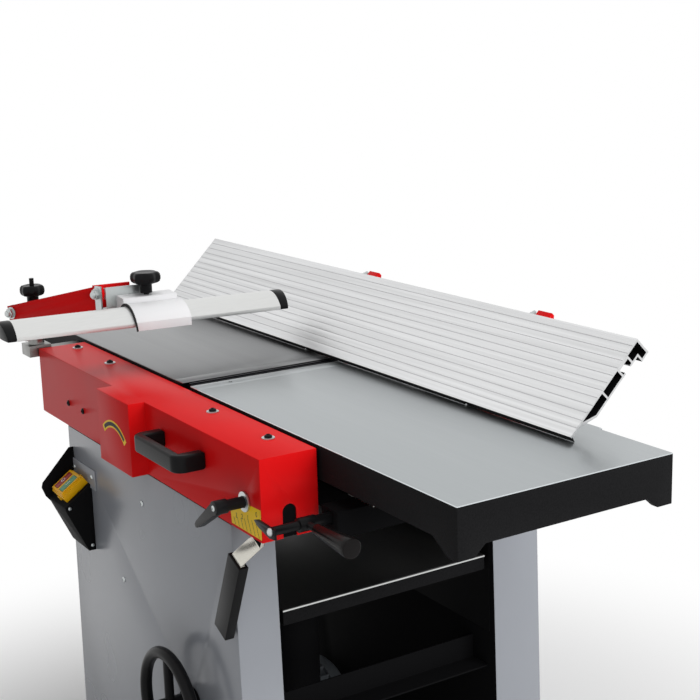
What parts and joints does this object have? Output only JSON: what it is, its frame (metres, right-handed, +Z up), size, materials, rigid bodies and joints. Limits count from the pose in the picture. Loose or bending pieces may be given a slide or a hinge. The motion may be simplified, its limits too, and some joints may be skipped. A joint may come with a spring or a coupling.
{
  "type": "combination planer thicknesser",
  "caption": "Planer thicknesser: two ground tables over a cutterblock, tilting fence, bridge guard, red front cover and a lifting thicknessing table in a steel cabinet.",
  "frame": {"origin": "on the floor, in the middle of the floor bolts, below the cutter axis and the middle of the tables' width", "axes": "+X along the tables to the infeed end, +Y to the fence at the rear, +Z up"},
  "size_m": [1.374, 0.8211, 1.005],
  "materials": {
    "cabinet_paint": "light grey powder coat",
    "frame_dark": "dark grey paint",
    "black_paint": "black powder coat",
    "cover_red": "red powder coat",
    "motor_paint": "grey motor paint",
    "table_iron": "ground top, dark painted sides",
    "ground_steel": "ground lip steel",
    "steel": "turned steel",
    "zinc": "zinc plate",
    "fence_alu": "natural anodised",
    "guard_alu": "natural anodised",
    "knob_plastic": "black moulded plastic",
    "switch_yellow": "yellow switch housing",
    "button_red": "red stop pad",
    "button_green": "green start pad",
    "belt_rubber": "ribbed belt"
  },
  "bodies": {
    "base": {"plinth": "frame_dark", "front_frame": "cabinet_paint", "rear_frame": "cabinet_paint", "cross_members": "frame_dark", "tunnel_liner": "black_paint", "bearing_housings": "frame_dark", "cutter_bearings": "steel", "roller_blocks": "frame_dark", "kickback_rod": "steel", "hinge_brackets": "frame_dark", "hinge_pins": "steel", "rest_pads": "steel", "column_base": "frame_dark", "motor": "motor_paint", "motor_mount": "frame_dark", "drive_belt": "belt_rubber", "belt_cover": "black_paint", "wheel_boss": "frame_dark", "switch_bracket": "black_paint", "switch_box": "switch_yellow"},
    "stop_button": {"stop_button": "button_red"},
    "start_button": {"start_button": "button_green"},
    "cutter": {"cutterblock": "steel", "planer_knives": "steel", "cutter_pulley": "steel"},
    "motor_drive": {"motor_pulley": "steel"},
    "infeed_roller": {"infeed_roller": "steel"},
    "outfeed_roller": {"outfeed_roller": "steel"},
    "kickback": {"kickback_fingers": "steel"},
    "bed": {"thickness_table": "table_iron", "lift_column": "steel"},
    "handwheel": {"handwheel": "knob_plastic", "wheel_grip": "knob_plastic"},
    "tables": {"outfeed_table": "table_iron", "outfeed_lip": "ground_steel", "outfeed_carrier": "frame_dark", "infeed_carrier": "frame_dark", "infeed_ways": "steel", "cover_rails": "frame_dark", "front_cover": "cover_red", "lift_handle": "knob_plastic", "fence_rails": "steel", "guard_bracket": "zinc"},
    "infeed": {"infeed_table": "table_iron", "infeed_lip": "ground_steel"},
    "carriage": {"fence_carriage": "frame_dark"},
    "carriage_knob": {"carriage_knob": "knob_plastic"},
    "fence": {"fence_face": "fence_alu", "fence_brackets": "cover_red"},
    "guard_arm": {"guard_arm": "cover_red"},
    "guard_head": {"guard_angle": "zinc", "guard_saddle": "guard_alu"},
    "saddle_knob": {"saddle_knob": "knob_plastic"},
    "guard_bar": {"guard_bar": "guard_alu", "guard_caps": "knob_plastic"},
    "lift_knob": {"lift_knob": "knob_plastic"},
    "depth_lever": {"depth_lever": "black_paint", "depth_grip": "knob_plastic"},
    "clamp_lever": {"clamp_lever": "black_paint"},
    "lock_lever": {"lock_lever": "zinc"}
  },
  "joints": [
    {"name": "stop_press", "type": "slide", "parent": "base", "child": "stop_button", "axis": [0, 0.578, -0.816], "range_m": [0, 0.003], "stiffness_N_per_m": 400},
    {"name": "start_press", "type": "slide", "parent": "base", "child": "start_button", "axis": [0, 0.578, -0.816], "range_m": [0, 0.003], "stiffness_N_per_m": 400},
    {"name": "cutter_spin", "type": "hinge", "parent": "base", "child": "cutter", "pos_m": [0, 0, 0.824], "axis": [0, 1, 0], "continuous": true},
    {"name": "motor_spin", "type": "hinge", "parent": "base", "child": "motor_drive", "pos_m": [-0.17, 0, 0.17], "axis": [0, 1, 0], "continuous": true},
    {"name": "infeed_roller_spin", "type": "hinge", "parent": "base", "child": "infeed_roller", "pos_m": [-0.062, 0, 0.807], "axis": [0, 1, 0], "continuous": true},
    {"name": "outfeed_roller_spin", "type": "hinge", "parent": "base", "child": "outfeed_roller", "pos_m": [0.062, 0, 0.807], "axis": [0, 1, 0], "continuous": true},
    {"name": "kickback_swing", "type": "hinge", "parent": "base", "child": "kickback", "pos_m": [-0.112, 0, 0.798], "axis": [0, -1, 0], "range_deg": [0, 35]},
    {"name": "bed_lift", "type": "slide", "parent": "base", "child": "bed", "axis": [0, 0, 1], "range_m": [-0.046, 0.141]},
    {"name": "handwheel_turn", "type": "hinge", "parent": "base", "child": "handwheel", "pos_m": [0.1495, -0.28, 0.42], "axis": [0, -1, 0], "range_deg": [-4050, 12600]},
    {"name": "tables_tilt", "type": "hinge", "parent": "base", "child": "tables", "pos_m": [0, 0.225, 0.8], "axis": [-1, 0, 0], "range_deg": [0, 90]},
    {"name": "infeed_drop", "type": "slide", "parent": "tables", "child": "infeed", "axis": [0.8575, 0, -0.5145], "range_m": [0, 0.00583]},
    {"name": "depth_turn", "type": "hinge", "parent": "tables", "child": "depth_lever", "pos_m": [0.432, -0.2, 0.775], "axis": [0, -1, 0], "range_deg": [0, 41]},
    {"name": "fence_slide", "type": "slide", "parent": "tables", "child": "carriage", "axis": [0, 1, 0], "range_m": [0, 0.064]},
    {"name": "carriage_knob_turn", "type": "hinge", "parent": "carriage", "child": "carriage_knob", "pos_m": [0.223, 0.255, 0.9], "axis": [0, 0, 1], "range_deg": [-180, 180]},
    {"name": "fence_tilt", "type": "hinge", "parent": "carriage", "child": "fence", "pos_m": [0, 0.09935, 0.86711], "axis": [1, 0, 0], "range_deg": [0, 45]},
    {"name": "guard_lift", "type": "hinge", "parent": "tables", "child": "guard_arm", "pos_m": [-0.428, -0.2867, 0.921], "axis": [0.3891, -0.9212, 0], "range_deg": [-15, 10]},
    {"name": "guard_level", "type": "hinge", "parent": "guard_arm", "child": "guard_head", "pos_m": [-0.23143, -0.20367, 0.972], "axis": [0.3891, -0.9212, 0], "range_deg": [-10.1, 15.1]},
    {"name": "saddle_knob_turn", "type": "hinge", "parent": "guard_head", "child": "saddle_knob", "pos_m": [-0.19835, -0.13613, 0.972], "axis": [0, 0, 1], "range_deg": [-180, 180]},
    {"name": "guard_slide", "type": "slide", "parent": "guard_head", "child": "guard_bar", "axis": [0.0924, 0.9957, 0], "range_m": [-0.2, 0]},
    {"name": "lift_knob_turn", "type": "hinge", "parent": "tables", "child": "lift_knob", "pos_m": [-0.436, -0.247, 0.95], "axis": [0, 0, 1], "range_deg": [-180, 180]},
    {"name": "clamp_turn", "type": "hinge", "parent": "tables", "child": "clamp_lever", "pos_m": [0.35, -0.26, 0.79], "axis": [0, -1, 0], "range_deg": [-30, 60]},
    {"name": "lock_turn", "type": "hinge", "parent": "tables", "child": "lock_lever", "pos_m": [0.368, -0.238, 0.772], "axis": [0, -1, 0], "range_deg": [0, 32]}
  ],
  "couplings": [
    {"joint": "motor_spin", "follows": "cutter_spin", "ratio": 0.56522},
    {"joint": "infeed_roller_spin", "follows": "cutter_spin", "ratio": -0.0111},
    {"joint": "outfeed_roller_spin", "follows": "cutter_spin", "ratio": -0.0111},
    {"joint": "bed_lift", "follows": "handwheel_turn", "m_per_rad": 0.00063662},
    {"joint": "depth_turn", "follows": "infeed_drop", "rad_per_m": 119.7},
    {"joint": "guard_level", "follows": "guard_lift", "ratio": -1}
  ]
}
